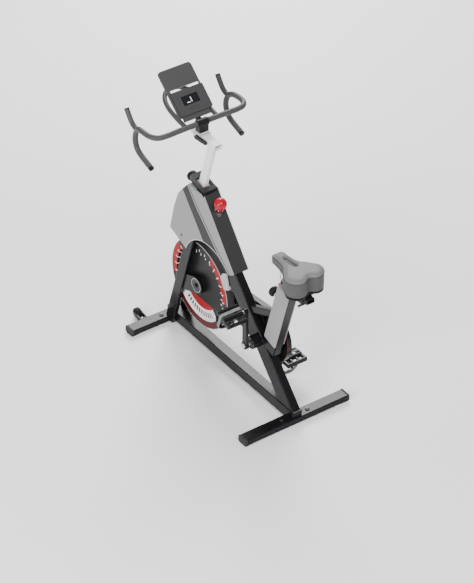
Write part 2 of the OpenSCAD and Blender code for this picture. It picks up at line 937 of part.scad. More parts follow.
module clamp_lever() {
    pin = [212, 1071];
    stand() color(dark) {
        across(pin, 8, tee_w / 2 + 4 + gap, tee_w / 2 + 16);
        side_plate(tee_w / 2 + 8, tee_w / 2 + 16)
            polygon([pin + [0, -8], pin + [0, 8], pin + [-66, 14], pin + [-74, 8],
                pin + [-74, 2], pin + [-66, -2]]);
    }
}

// ---------- tablet panel and console ----------

// Panel frame: X up the slope, Y to the left, Z out of the face to the rider
module panel_axis() {
    translate([panel_foot[0], 0, panel_foot[1]]) rotate([0, -panel_slope, 0]) children();
}

module tablet_panel() {
    slot_at = 116;
    stand() color(grey) panel_axis() translate([0, 0, -8]) linear_extrude(8) difference() {
        union() {
            translate([panel_l / 2, 0]) rrect(panel_l, panel_w, 14);
            translate([1, 0]) square([38, 128], center = true);
        }
        translate([slot_at, -5]) rrect(11, 138, 3);
    }
}

// Ledge and display housing on the lower part of the panel
module console() {
    stand() color([0.3, 0.3, 0.3]) panel_axis() difference() {
        translate([55, -3, 0]) linear_extrude(13) rrect(106, panel_w - 8, 8);
        translate([60, 2, 10]) linear_extrude(10) rrect(40, 78, 3);
        translate([22, 2, 11]) linear_extrude(10) rrect(12, 40, 4);
    }
}

// Flat arm from the bar's clamp up along the panel's back
module panel_bracket() {
    stand() color(dark) difference() {
        side_plate(-8, 8) polygon([bar_mid + [0, 4], bar_mid + [8, -9], [247, 1127],
            [292, 1165], [280, 1180], [236, 1143]]);
        across(bar_mid, bar_r + 5.2, -25.2, 25.2);
        panel_axis() translate([-18.2, -100, -8]) cube([300, 200, 60]);
    }
}

// ---------- seat ----------

module seat_post() {
    stand() color(dark) lean_at(seat_head, seat_lean) difference() {
        translate([0, 0, -290]) linear_extrude(296) difference() {
            rrect(seat_post_d, seat_post_w, 4);
            rrect(seat_post_d - 5, seat_post_w - 5, 2);
        }
        rotate([0, seat_lean, 0]) translate([-120, -60, 0]) cube([240, 120, 60]);
    }
    stand() color(silver) translate([seat_tee_x[0], 0, seat_tee_low + seat_tee_h / 2]) rotate([90, 0, 90])
        linear_extrude(seat_tee_x[1] - seat_tee_x[0]) difference() {
            rrect(tee_w, seat_tee_h, 3);
            rrect(tee_w - 5, seat_tee_h - 5, 1);
        }
}

// Block that slides on the seat tee and holds the saddle's two rails
module saddle_clamp() {
    low = seat_tee_low - 12;
    high = seat_tee_low + seat_tee_h + 4;
    len = saddle_clamp_x[1] - saddle_clamp_x[0];
    stand() color(dark) difference() {
        union() {
            translate([saddle_clamp_x[0], -tee_w / 2 - 4, low])
                cube([len, tee_w + 8, high - low]);
            translate([saddle_clamp_x[0] + 10, -30, high - 1]) cube([len - 20, 60, 10]);
        }
        translate([-600, -tee_w / 2 - gap, seat_tee_low - gap])
            cube([300, tee_w + 2 * gap, seat_tee_h + 2 * gap]);
        translate([handle_x, 0, low - 1]) cylinder(h = 14, r = 5 + slack);
        both() translate([-600, rail_y, rail_z]) rotate([0, 90, 0])
            cylinder(h = 200, r = rail_r + slack);
    }
}

// Cross handle whose screw presses the clamp against the tee
module seat_handle() {
    stand() color(chrome) {
        translate([handle_x, 0, 655]) cylinder(h = seat_tee_low - gap - 655, r = 5);
        translate([handle_x, 0, 655]) rotate([90, 0, 0])
            cylinder(h = 74, r = 7, center = true);
    }
}

// Two steel rails; both ends of each stand up into the saddle's base
module saddle_rails() {
    stand() color(chrome) both() {
        translate([-512, rail_y, rail_z]) rotate([0, 90, 0]) cylinder(h = 157, r = rail_r);
        translate([-512, rail_y, rail_z]) sphere(rail_r + 1);
        translate([-512, rail_y, rail_z]) cylinder(h = 10, r = rail_r - 0.5);
        translate([-355, rail_y, rail_z]) sphere(rail_r + 1);
        translate([-355, rail_y, rail_z]) cylinder(h = 38, r = rail_r - 0.5);
    }
}

// Half plan of the saddle from nose to notch
saddle_edge = [[saddle_nose - 8, 26], [saddle_nose - 40, 30], [-375, 38], [-400, 50],
    [-425, 66], [-450, 80], [-480, saddle_w / 2], [-500, 90], [-520, 78], [-533, 62],
    [saddle_nose - saddle_l, 42], [saddle_nose - saddle_l + 4, 24], [-522, 0]];

// Plan of the saddle, grown by g
module saddle_plan(g) {
    edge = smooth(saddle_edge, 2);
    back = [for (i = [len(edge) - 1 : -1 : 0]) [edge[i][0], -edge[i][1]]];
    offset(delta = g) {
        polygon(concat(edge, back));
        translate([saddle_nose - 20, 0]) rrect(40, 54, 9);
    }
}

// Space above the saddle's underside, which starts at height low
module saddle_shell(low, g) {
    side_plate(-120, 120) polygon([[-600, low - g], [-452, low - g], [-400, low + 30 - g],
        [-360, low + 34 - g], [-250, low + 30 - g], [-250, 900], [-600, 900]]);
}

module saddle_base() {
    stand() color([0.08, 0.08, 0.08]) difference() {
        intersection() {
            translate([0, 0, 600]) linear_extrude(300) saddle_plan(-7);
            saddle_shell(saddle_mid - 6, 0);
        }
        saddle_shell(saddle_mid, 0);
    }
}

module saddle() {
    stand() color([0.6, 0.6, 0.6]) difference() {
        saddle_pad();
        translate([-388, 0, saddle_top - 20]) linear_extrude(40) rrect(93, 28, 13.8);
    }
}

module saddle_pad() {
    intersection() {
        translate([0, 0, 600]) linear_extrude(300) saddle_plan(0);
        saddle_shell(saddle_mid, 0);
        side_plate(-120, 120) polygon([[-600, 700], [-600, saddle_top - 6],
            [-530, saddle_top], [-460, saddle_top], [-400, saddle_top - 7],
            [-310, saddle_top - 9], [-285, saddle_top - 16], [-285, 700]]);
    }
}

// ---------- transport wheels ----------

module wheel_brackets() {
    stand() color(steel) both() {
        for (y = [-16, 12]) translate([0, wheel_y + y, 0]) side_plate(0, 4) hull() {
            translate(wheel_at) circle(11, $fn = 32);
            translate([front_foot_x + foot_w / 2, foot_low + 2]) square([6, 24]);
        }
        across(wheel_at, pin_r, wheel_y - 12, wheel_y + 12);
        translate([front_foot_x + foot_w / 2, wheel_y - 12, foot_low + 2]) cube([4, 24, 24]);
    }
}

module wheel(y) {
    color([0.08, 0.08, 0.08]) difference() {
        translate([wheel_at[0], y, wheel_at[1]]) rotate([90, 0, 0])
            rotate_extrude($fn = 64) polygon([[pin_r + slack, -11], [12, -11], [14, -7],
                [17, -7], [19, -11], [wheel_r - 3, -11], [wheel_r, -8], [wheel_r, 8],
                [wheel_r - 3, 11], [19, 11], [17, 7], [14, 7], [12, 11],
                [pin_r + slack, 11]]);
    }
}

module wheel_left() {
    stand() wheel(wheel_y);
}

module wheel_right() {
    stand() wheel(-wheel_y);
}

base_rail();
front_stabilizer();
rear_stabilizer();
stabilizer_caps();
main_tube();
fork_legs();
axle_brackets();
bearings();
head_sleeve();
seat_tube();
seat_tube_covers();
frame_strut();
bottom_bracket();
shroud_left();
shroud_right();
shroud_spine();
head_collar();
post_bushes();
belt_guard_inner();
belt_guard_outer();
drive_belt();
knob_sockets();
wheel_brackets();
frame_bolts();
flywheel();
flywheel_shaft();
flywheel_pulley();
crank_spindle();
crank_left();
crank_right();
drive_pulley();
pedal_spindles();
pedal_left();
toe_cage_left();
toe_strap_left();
pedal_right();
toe_cage_right();
toe_strap_right();
brake_caliper();
brake_rod();
resistance_knob();
handlebar_post();
bar_clamp();
handlebar();
forearm_loop();
bar_end_caps();
panel_bracket();
tablet_panel();
console();
clamp_lever();
seat_post();
saddle_clamp();
seat_handle();
saddle_rails();
saddle_base();
saddle();
seat_pin_knob();
bar_pin_knob();
wheel_left();
wheel_right();
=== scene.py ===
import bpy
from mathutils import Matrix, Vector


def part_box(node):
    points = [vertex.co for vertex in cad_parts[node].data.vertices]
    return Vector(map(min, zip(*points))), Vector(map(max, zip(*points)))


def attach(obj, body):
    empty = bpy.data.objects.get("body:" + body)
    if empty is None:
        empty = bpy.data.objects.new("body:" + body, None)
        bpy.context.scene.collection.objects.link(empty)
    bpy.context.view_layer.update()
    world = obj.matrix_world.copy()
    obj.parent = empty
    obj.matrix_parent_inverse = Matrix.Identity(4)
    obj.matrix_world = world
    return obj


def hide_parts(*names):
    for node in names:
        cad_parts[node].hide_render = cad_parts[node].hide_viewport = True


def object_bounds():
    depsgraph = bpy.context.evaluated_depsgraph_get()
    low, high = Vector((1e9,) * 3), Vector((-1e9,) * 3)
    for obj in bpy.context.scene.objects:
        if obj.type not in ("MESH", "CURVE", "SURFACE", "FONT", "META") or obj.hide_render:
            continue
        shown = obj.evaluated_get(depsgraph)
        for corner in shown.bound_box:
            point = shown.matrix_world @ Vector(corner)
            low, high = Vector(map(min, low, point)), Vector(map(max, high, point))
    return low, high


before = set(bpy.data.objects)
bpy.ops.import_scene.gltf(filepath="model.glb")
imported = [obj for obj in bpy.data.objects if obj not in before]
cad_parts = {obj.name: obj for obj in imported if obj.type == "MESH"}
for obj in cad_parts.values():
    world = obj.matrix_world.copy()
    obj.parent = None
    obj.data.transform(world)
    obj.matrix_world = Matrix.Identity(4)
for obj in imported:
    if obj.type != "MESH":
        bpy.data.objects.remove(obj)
cad_box = [list(corner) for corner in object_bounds()]

import math

import bmesh
import bpy
from mathutils import Matrix, Vector

# Camera. It looks down at the bike from its left rear through a long lens, so the
# two sides of the bike stay almost parallel.
camera_at = Vector((-7.6645, 5.3920, 7.3280))
camera_aim = Vector((0.6565, -0.4636, -0.5949))
lens_mm = 176.4
sensor_mm = 36
camera_reach = 60
camera = bpy.data.objects.new("camera", bpy.data.cameras.new("camera"))
bpy.context.scene.collection.objects.link(camera)
camera.location = camera_at
camera.rotation_euler = camera_aim.to_track_quat("-Z", "Y").to_euler()
camera.data.lens = lens_mm
camera.data.sensor_width = sensor_mm
camera.data.clip_end = camera_reach
bpy.context.scene.camera = camera


# Studio floor. One wide plain pale sheet under the bike, matt, with a faint cloud in
# its tone so that it isn't a flat card.
floor_size = 24
floor_pale = (0.90, 0.90, 0.90, 1)
floor_bright = (0.94, 0.94, 0.94, 1)
floor_roughness = 0.9
floor_cloud = {"Scale": 1.5, "Detail": 4.0}


def put(tree, kind, inputs=None, **settings):
    node = tree.nodes.new(kind)
    for name, value in settings.items():
        setattr(node, name, value)
    for name, value in (inputs or {}).items():
        if isinstance(value, bpy.types.NodeSocket):
            tree.links.new(value, node.inputs[name])
        else:
            node.inputs[name].default_value = value
    return node


def blank_material(name):
    material = bpy.data.materials.new(name)
    material.use_nodes = True
    return material, material.node_tree, material.node_tree.nodes["Principled BSDF"]


def place_on(tree):
    return put(tree, "ShaderNodeTexCoord").outputs["Object"]


def floor_paint():
    material, tree, shader = blank_material("floor_paint")
    cloud = put(tree, "ShaderNodeTexNoise", {"Vector": place_on(tree), **floor_cloud})
    ramp = put(tree, "ShaderNodeValToRGB", {"Fac": cloud.outputs["Fac"]})
    ramp.color_ramp.elements[0].color = floor_pale
    ramp.color_ramp.elements[1].color = floor_bright
    tree.links.new(ramp.outputs["Color"], shader.inputs["Base Color"])
    shader.inputs["Roughness"].default_value = floor_roughness
    return material


def new_piece(name, bm, material, body=None):
    mesh = bpy.data.meshes.new(name)
    bm.to_mesh(mesh)
    bm.free()
    piece = bpy.data.objects.new(name, mesh)
    bpy.context.scene.collection.objects.link(piece)
    mesh.materials.append(material)
    if body:
        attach(piece, body)
    return piece


bm = bmesh.new()
bmesh.ops.create_grid(bm, x_segments=1, y_segments=1, size=floor_size / 2)
new_piece("studio_floor", bm, floor_paint())


# Studio light. A soft box over the camera's shoulder, one on the bike's left, and a
# large one in front of it that shows in the gloss of its level tops.
soft_boxes = (  # name, direction from the bike, side in metres, watts
    ("front_box", (0.66, -0.46, 0.60), 2.6, 400),
    ("shoulder_box", (-0.75, 0.15, 0.9), 3.0, 270),
    ("left_box", (-0.32, 0.90, 0.40), 2.4, 260),
)
box_distance = 5
air_colour = (0.95, 0.97, 1, 1)
air_strength = 0.4
middle = (Vector(cad_box[0]) + Vector(cad_box[1])) / 2
for name, direction, side, watts in soft_boxes:
    light = bpy.data.objects.new(name, bpy.data.lights.new(name, "AREA"))
    light.data.shape = "SQUARE"
    light.data.size = side
    light.data.energy = watts
    light.location = middle + box_distance * Vector(direction)
    light.rotation_euler = (middle - light.location).to_track_quat("-Z", "Y").to_euler()
    bpy.context.scene.collection.objects.link(light)
world = bpy.data.worlds.new("studio_air")
bpy.context.scene.world = world
world.use_nodes = True
world.node_tree.nodes["Background"].inputs["Color"].default_value = air_colour
world.node_tree.nodes["Background"].inputs["Strength"].default_value = air_strength


# Welded frame. Square steel tubes under a thick gloss black paint, with the slight
# ripple that sprayed paint has and a little dust in it.
grain_noise = {"Detail": 3.0, "Roughness": 0.6}
cloud_noise = {"Scale": 9.0, "Detail": 4.0}
grain_bump = {"Distance": 0.0004, "Strength": 0.6}
metal_shine = 0.5
coat_roughness = 0.06


def calc(tree, operation, *values, **settings):
    return put(tree, "ShaderNodeMath", dict(enumerate(values)), operation=operation,
               **settings).outputs[0]


def finish_group():
    group = bpy.data.node_groups.new("surface_finish", "ShaderNodeTree")
    for in_out, name, kind in (("INPUT", "Colour", "Color"), ("INPUT", "Colour Shift", "Float"),
                               ("INPUT", "Grain Scale", "Float"),
                               ("INPUT", "Grain Depth", "Float"), ("INPUT", "Roughness", "Float"),
                               ("INPUT", "Roughness Shift", "Float"),
                               ("OUTPUT", "Colour", "Color"), ("OUTPUT", "Roughness", "Float"),
                               ("OUTPUT", "Height", "Float")):
        group.interface.new_socket(name=name, in_out=in_out, socket_type="NodeSocket" + kind)
    given = group.nodes.new("NodeGroupInput").outputs
    result = group.nodes.new("NodeGroupOutput").inputs
    where = place_on(group)
    grain = put(group, "ShaderNodeTexNoise", {"Vector": where, "Scale": given["Grain Scale"],
                **grain_noise}).outputs["Fac"]
    cloud = put(group, "ShaderNodeTexNoise", {"Vector": where, **cloud_noise}).outputs["Fac"]
    swing = calc(group, "SUBTRACT", calc(group, "ADD", grain, cloud), 1.0)
    bright = calc(group, "ADD", calc(group, "MULTIPLY", swing, given["Colour Shift"]), 1.0)
    colour = put(group, "ShaderNodeHueSaturation", {"Value": bright, "Color": given["Colour"]})
    rough = calc(group, "MULTIPLY_ADD", swing, given["Roughness Shift"], given["Roughness"],
                 use_clamp=True)
    group.links.new(colour.outputs["Color"], result["Colour"])
    group.links.new(rough, result["Roughness"])
    group.links.new(calc(group, "MULTIPLY", grain, given["Grain Depth"]), result["Height"])
    return group


surface_finish = finish_group()


def finished(name, colour, roughness, shift=0.12, scale=300, depth=0.5, rough_shift=0.1,
             metallic=0.0, coat=0.0, shine=0.15):
    material, tree, shader = blank_material(name)
    group = put(tree, "ShaderNodeGroup", node_tree=surface_finish)
    for socket, value in (("Colour", (*colour, 1)), ("Colour Shift", shift),
                          ("Grain Scale", scale), ("Grain Depth", depth),
                          ("Roughness", roughness), ("Roughness Shift", rough_shift)):
        group.inputs[socket].default_value = value
    bump = put(tree, "ShaderNodeBump", {"Height": group.outputs["Height"], **grain_bump})
    tree.links.new(group.outputs["Colour"], shader.inputs["Base Color"])
    tree.links.new(group.outputs["Roughness"], shader.inputs["Roughness"])
    tree.links.new(bump.outputs["Normal"], shader.inputs["Normal"])
    for socket, value in (("Metallic", metallic),
                          ("Specular IOR Level", metal_shine if metallic else shine),
                          ("Coat Weight", coat), ("Coat Roughness", coat_roughness)):
        shader.inputs[socket].default_value = value
    return material


def dress(material, *nodes):
    for name in nodes:
        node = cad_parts[name]
        node.data.materials.clear()
        node.data.materials.append(material)


frame_black = finished("frame_black", (0.008, 0.008, 0.009), 0.22, shift=0.5, scale=60,
                       depth=0.25, rough_shift=0.12, shine=0.13)
dress(frame_black, "base_rail", "front_stabilizer", "rear_stabilizer", "main_tube", "fork_legs",
      "axle_brackets", "head_sleeve", "seat_tube", "frame_strut", "bottom_bracket",
      "wheel_brackets")


# Plugs that close the base rail's two open ends over the floor tubes. Black plastic,
# pressed in just short of the tube's end, with a small round edge.
rail_wall = 0.0028
plug_thick = 0.004
plug_inset = 0.0012
plug_gap = 0.0006
plug_edge = 0.0008
rail_low, rail_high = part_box("base_rail")
plug_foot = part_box("rear_stabilizer")[1].z + plug_gap
plug_size = Vector((plug_thick, rail_high.y - rail_low.y - 2 * rail_wall,
                    rail_high.z - rail_wall - plug_foot))
plug_black = finished("plug_black", (0.008, 0.008, 0.008), 0.45, scale=900, depth=0.6)


def block(bm, size, place):
    verts = bmesh.ops.create_cube(bm, size=1)["verts"]
    bmesh.ops.scale(bm, vec=size, verts=verts)
    bmesh.ops.translate(bm, vec=place, verts=verts)


def round_edges(bm, radius):
    bmesh.ops.bevel(bm, geom=bm.edges[:], offset=radius, segments=2, profile=0.5,
                    affect="EDGES", material=-1)


for name, rail_end, inward in (("rail_plug_rear", rail_low.x, 1),
                               ("rail_plug_front", rail_high.x, -1)):
    bm = bmesh.new()
    block(bm, plug_size, Vector((rail_end + inward * (plug_inset + plug_thick / 2), 0,
                                 plug_foot + plug_size.z / 2)))
    round_edges(bm, plug_edge)
    plug = new_piece(name, bm, plug_black, "frame")


# End caps of the two floor tubes. Moulded dark grey rubber, matt, with a fine pebble,
# pushed over the tubes' ends, each with the thin pad that the bike stands on.
cap_rubber = finished("cap_rubber", (0.035, 0.035, 0.035), 0.75, scale=700, depth=1.0)
dress(cap_rubber, "stabilizer_caps")


# Shafts and bolts. The pedal spindles and the crank spindle are turned steel left bare;
# the floor tubes' bolts and the shroud's screws are blackened.
turned_steel = finished("turned_steel", (0.55, 0.55, 0.56), 0.28, scale=500, depth=0.3,
                        metallic=1.0)
dress(turned_steel, "pedal_spindles", "crank_spindle")
black_bolt = finished("black_bolt", (0.010, 0.010, 0.010), 0.35, scale=400, shine=0.3)
dress(black_bolt, "frame_bolts")


# Chrome parts. The sockets that the knobs screw into, the brake's push rod, the
# saddle's rails and the knob that locks the saddle are plated and polished.
chrome = finished("chrome", (0.78, 0.78, 0.80), 0.10, shift=0.05, scale=40, depth=0.1,
                  rough_shift=0.05, metallic=1.0)
dress(chrome, "knob_sockets", "brake_rod", "saddle_rails", "seat_handle")


# Silver parts. The seat tube's covers are satin silver plastic with a fine flake, the
# handlebar's post is bright painted steel, and the brake's shoe plates are cast.
cover_silver = finished("cover_silver", (0.27, 0.27, 0.273), 0.38, shift=0.1, scale=900,
                        depth=0.15)
dress(cover_silver, "seat_tube_covers")
post_silver = finished("post_silver", (0.86, 0.86, 0.87), 0.32, shift=0.06, scale=900,
                       depth=0.15)
dress(post_silver, "handlebar_post")
caliper_silver = finished("caliper_silver", (0.42, 0.42, 0.42), 0.45, scale=500)
dress(caliper_silver, "brake_caliper")


# Shroud sides. Silver moulded plastic with a charcoal stripe that runs down beside the
# spine, then a light line and a thin dark line; a pale ring along the arch over the
# flywheel is a painted highlight on its lip.
stripe_colour = (0.018, 0.018, 0.019, 1)
shroud_colour = (0.25, 0.25, 0.253, 1)
lip_highlight_colour = (0.62, 0.62, 0.62, 1)
stripe_front = (1.23, 0.400)  # slope and foot of each line in the side view
stripe_rear_high = (1.24, 0.476)
stripe_rear_low = (0.955, 0.532)
dark_line = (0.013, 0.021)
arch_mid = (0.110, 0.402)
arch_highlight_ring = (0.1745, 0.1775)
line_blur = 0.0006
far = 1


def height_over_line(tree, x, z, line):
    return calc(tree, "SUBTRACT", z, calc(tree, "MULTIPLY_ADD", x, *line))


def within(tree, value, low, high, blur=line_blur):
    up = put(tree, "ShaderNodeMapRange", {"Value": value, "From Min": low - blur,
             "From Max": low + blur}).outputs[0]
    down = put(tree, "ShaderNodeMapRange", {"Value": value, "From Min": high - blur,
               "From Max": high + blur, "To Min": 1.0, "To Max": 0.0}).outputs[0]
    return calc(tree, "MULTIPLY", up, down)


def painted_over(tree, mask, below, above):
    mix = put(tree, "ShaderNodeMix", data_type="RGBA")
    tree.links.new(mask, mix.inputs["Factor"])
    colour_below, colour_above = mix.inputs[6], mix.inputs[7]
    for socket, value in ((colour_below, below), (colour_above, above)):
        if isinstance(value, bpy.types.NodeSocket):
            tree.links.new(value, socket)
        else:
            socket.default_value = value
    return mix.outputs[2]


def radius_about(tree, x, z, middle):
    out_x = calc(tree, "SUBTRACT", x, middle[0])
    out_z = calc(tree, "SUBTRACT", z, middle[1])
    square = calc(tree, "MULTIPLY", out_x, out_x)
    radius = calc(tree, "SQRT", calc(tree, "MULTIPLY_ADD", out_z, out_z, square))
    return radius, out_x, out_z


def place_axes(tree):
    return put(tree, "ShaderNodeSeparateXYZ", {"Vector": place_on(tree)}).outputs


def colour_by(material, colour):
    group = next(node for node in material.node_tree.nodes if node.type == "GROUP")
    material.node_tree.links.new(colour, group.inputs["Colour"])


shroud_silver = finished("shroud_silver", (0.5, 0.5, 0.5), 0.36, shift=0.08, scale=800,
                         depth=0.15)
tree = shroud_silver.node_tree
x, _, z = place_axes(tree)
past_front = height_over_line(tree, x, z, stripe_front)
past_rear = calc(tree, "MINIMUM", height_over_line(tree, x, z, stripe_rear_high),
                 height_over_line(tree, x, z, stripe_rear_low))
stripe = calc(tree, "MULTIPLY", within(tree, past_front, 0, far),
              within(tree, past_rear, -far, 0))
marks = calc(tree, "MAXIMUM", stripe, within(tree, past_rear, *dark_line))
# Painted highlight: a thin pale ring along the arch's lip, standing in for light caught by its
# edge.
lip_highlight = within(tree, radius_about(tree, x, z, arch_mid)[0], *arch_highlight_ring)
paint = painted_over(tree, marks, shroud_colour, stripe_colour)
colour_by(shroud_silver, painted_over(tree, lip_highlight, paint, lip_highlight_colour))
dress(shroud_silver, "shroud_left", "shroud_right")


# Dark mouldings. The shroud's spine and the collar at its top are charcoal plastic with
# a fine spark-eroded grain; the saddle's base, the lever, the bar's end caps and the
# pin knobs are black. The bushes that the posts slide in are a pale pinkish plastic.
spine_plastic = finished("spine_plastic", (0.030, 0.030, 0.031), 0.42, scale=900, depth=0.7)
dress(spine_plastic, "shroud_spine", "head_collar")
black_plastic = finished("black_plastic", (0.010, 0.010, 0.010), 0.4, scale=900, depth=0.7)
dress(black_plastic, "saddle_base", "clamp_lever", "bar_end_caps", "seat_pin_knob",
      "bar_pin_knob")
bush_plastic = finished("bush_plastic", (0.26, 0.19, 0.19), 0.5, scale=500)
dress(bush_plastic, "post_bushes")


# Belt guard and drive. Two shells of gloss black plastic, the outer one with a dark red
# line moulded along its edge. Inside, a ribbed rubber belt runs on two metal pulleys.
guard_red = (0.075, 0.002, 0.005, 1)
guard_black = (0.008, 0.008, 0.008, 1)
guard_line = (-0.004, 0.001)
guard_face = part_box("belt_guard_outer")[1].y
guard_plastic = finished("guard_plastic", (0.010, 0.010, 0.010), 0.25, scale=200)
tree = guard_plastic.node_tree
_, y, _ = place_axes(tree)
seam = within(tree, y, *(guard_face + depth for depth in guard_line))
colour_by(guard_plastic, painted_over(tree, seam, guard_black, guard_red))
dress(guard_plastic, "belt_guard_inner", "belt_guard_outer")
belt_rubber = finished("belt_rubber", (0.015, 0.015, 0.015), 0.8, scale=600, depth=1.0)
dress(belt_rubber, "drive_belt")
pulley_metal = finished("pulley_metal", (0.22, 0.22, 0.22), 0.4, metallic=0.8, scale=300)
dress(pulley_metal, "drive_pulley", "flywheel_pulley")


# Flywheel. A black cast disc with red arcs on its rim, white ticks inside them, and at
# its foot a white band with plain marks, a red crescent and a dark red edge. A thin pale
# ring round the rim's outer edge is a painted highlight.
wheel_black = (0.008, 0.008, 0.008, 1)
wheel_red = (0.27, 0.001, 0.005, 1)
wheel_dark_red = (0.07, 0.001, 0.003, 1)
wheel_white = (0.76, 0.74, 0.73, 1)
# Painted highlight: light grey for the thin ring round the rim's outer edge.
rim_highlight_colour = (0.45, 0.43, 0.43, 1)
rim_ring = (0.165, 0.198)
tick_ring = (0.143, 0.178)
band_ring = (0.120, 0.168)
mark_ring = (0.132, 0.157)
dark_ring = (0.169, 0.198)
rim_highlight_ring = (0.199, 0.2015)
tick_arcs = ((-30, 181), (-181, -168))  # degrees, 0 towards the bike's front
rim_arcs = ((-12, 42), (115, 178))
foot_arc = (-134, -38)
mark_arc = (-124, -50)
tick_step = 12.5
tick_share = 0.13
mark_step = 6.5
mark_share = 0.55
crescent_top = -0.078
arc_blur = 0.2
step_blur = 0.02
wheel_low, wheel_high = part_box("flywheel")
wheel_axle = ((wheel_low.x + wheel_high.x) / 2, (wheel_low.z + wheel_high.z) / 2)
wheel_paint = finished("wheel_paint", (0.02, 0.02, 0.02), 0.4, scale=250, depth=0.4)
tree = wheel_paint.node_tree
x, _, z = place_axes(tree)
radius, out_x, out_z = radius_about(tree, x, z, wheel_axle)
angle = calc(tree, "DEGREES", calc(tree, "ARCTAN2", out_z, out_x))


def both(tree, first, *others):
    for other in others:
        first = calc(tree, "MULTIPLY", first, other)
    return first


def either(tree, first, *others):
    for other in others:
        first = calc(tree, "MAXIMUM", first, other)
    return first


def over_arcs(tree, *arcs):
    return either(tree, *(within(tree, angle, *arc, arc_blur) for arc in arcs))


def repeated(tree, step, share):
    steps = calc(tree, "DIVIDE", calc(tree, "ADD", angle, 360.0), step)
    return within(tree, calc(tree, "FRACT", steps), 0.0, share, step_blur)


ticks = both(tree, within(tree, radius, *tick_ring), repeated(tree, tick_step, tick_share),
             over_arcs(tree, *tick_arcs))
red_rim = both(tree, within(tree, radius, *rim_ring), over_arcs(tree, *rim_arcs))
foot = over_arcs(tree, foot_arc)
white_band = both(tree, within(tree, radius, *band_ring), foot)
foot_marks = both(tree, within(tree, radius, *mark_ring), repeated(tree, mark_step, mark_share),
                  over_arcs(tree, mark_arc))
crescent = both(tree, within(tree, radius, 0.0, band_ring[0]),
                within(tree, out_z, -far, crescent_top))
paint = painted_over(tree, red_rim, wheel_black, wheel_red)
for mask, colour in ((crescent, wheel_red),
                     (both(tree, within(tree, radius, *dark_ring), foot), wheel_dark_red),
                     (either(tree, ticks, white_band), wheel_white),
                     (foot_marks, wheel_dark_red),
                     (within(tree, radius, *rim_highlight_ring), rim_highlight_colour)):
    paint = painted_over(tree, mask, paint, colour)
colour_by(wheel_paint, paint)
dress(wheel_paint, "flywheel")


# Bearings. The flywheel's two have black seals inside a bright outer ring, which
# shows as a thin ring round the axle.
ring_edge = (0.0295, 0.0325)
seal_black = (0.010, 0.010, 0.010, 1)
ring_steel = (0.36, 0.36, 0.365, 1)
bearing_steel = finished("bearing_steel", (0.5, 0.5, 0.5), 0.4, scale=500, depth=0.3,
                         shine=0.3)
tree = bearing_steel.node_tree
x, _, z = place_axes(tree)
ring = within(tree, radius_about(tree, x, z, wheel_axle)[0], *ring_edge)
colour_by(bearing_steel, painted_over(tree, ring, seal_black, ring_steel))
dress(bearing_steel, "bearings", "flywheel_shaft")


# Cranks and pedals. Forged cranks under gloss black paint, moulded black pedals and
# cages, and woven grey straps.
crank_black = finished("crank_black", (0.008, 0.008, 0.008), 0.25, scale=120)
dress(crank_black, "crank_left", "crank_right")
pedal_black = finished("pedal_black", (0.010, 0.010, 0.010), 0.28, scale=300)
dress(pedal_black, "pedal_left", "pedal_right", "toe_cage_left", "toe_cage_right")
thread_waves = {"Scale": 260.0, "Distortion": 0.4}
thread_height = 0.0004
thread_dark = (0.14, 0.14, 0.14, 1)
thread_light = (0.30, 0.30, 0.30, 1)
strap_roughness = 0.7


def strap_weave():
    material, tree, shader = blank_material("strap_weave")
    where = place_on(tree)
    across, along = (put(tree, "ShaderNodeTexWave", {"Vector": where, **thread_waves},
                         bands_direction=axis).outputs["Fac"] for axis in "ZX")
    weave = calc(tree, "MULTIPLY", across, along)
    bump = put(tree, "ShaderNodeBump", {"Height": weave, "Distance": thread_height})
    tree.links.new(painted_over(tree, weave, thread_dark, thread_light),
                   shader.inputs["Base Color"])
    tree.links.new(bump.outputs["Normal"], shader.inputs["Normal"])
    shader.inputs["Roughness"].default_value = strap_roughness
    return material


dress(strap_weave(), "toe_strap_left", "toe_strap_right")


# Resistance knob. Gloss red plastic under a thin clear coat, turned to set the load and
# pushed down to stop the wheel.
knob_red = finished("knob_red", (0.36, 0.006, 0.016), 0.22, shift=0.1, scale=60, depth=0.2,
                    coat=0.2)
dress(knob_red, "resistance_knob")


# Handlebar and forearm loop. Steel tube under a grey dipped grip with a fine pebble. Its
# clamp is a silver channel that slides on the post's tee, under a black hub; the arm of
# the panel, the saddle's clamp and the seat's post are black painted steel.
channel_silver = (0.55, 0.55, 0.555, 1)
hub_black = (0.010, 0.010, 0.010, 1)
hub_over_tee = 0.008
grip_grey = finished("grip_grey", (0.060, 0.060, 0.061), 0.38, scale=900, depth=0.6)
dress(grip_grey, "handlebar", "forearm_loop")
clamp_black = finished("clamp_black", (0.010, 0.010, 0.010), 0.42, scale=500)
dress(clamp_black, "panel_bracket", "saddle_clamp", "seat_post")
clamp_paint = finished("clamp_paint", (0.01, 0.01, 0.01), 0.4, scale=500)
tree = clamp_paint.node_tree
_, _, z = place_axes(tree)
hub_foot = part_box("handlebar_post")[1].z + hub_over_tee
hub = within(tree, z, hub_foot, hub_foot + far)
colour_by(clamp_paint, painted_over(tree, hub, channel_silver, hub_black))
dress(clamp_paint, "bar_clamp")


# Tablet panel and console. Grey moulded plastic with a fine grain. The panel has a ledge
# for a tablet, and the console is screwed to its face.
panel_plastic = finished("panel_plastic", (0.060, 0.060, 0.061), 0.45, scale=900, depth=0.8)
dress(panel_plastic, "tablet_panel")
console_plastic = finished("console_plastic", (0.050, 0.050, 0.051), 0.4, scale=900, depth=0.6)
dress(console_plastic, "console")


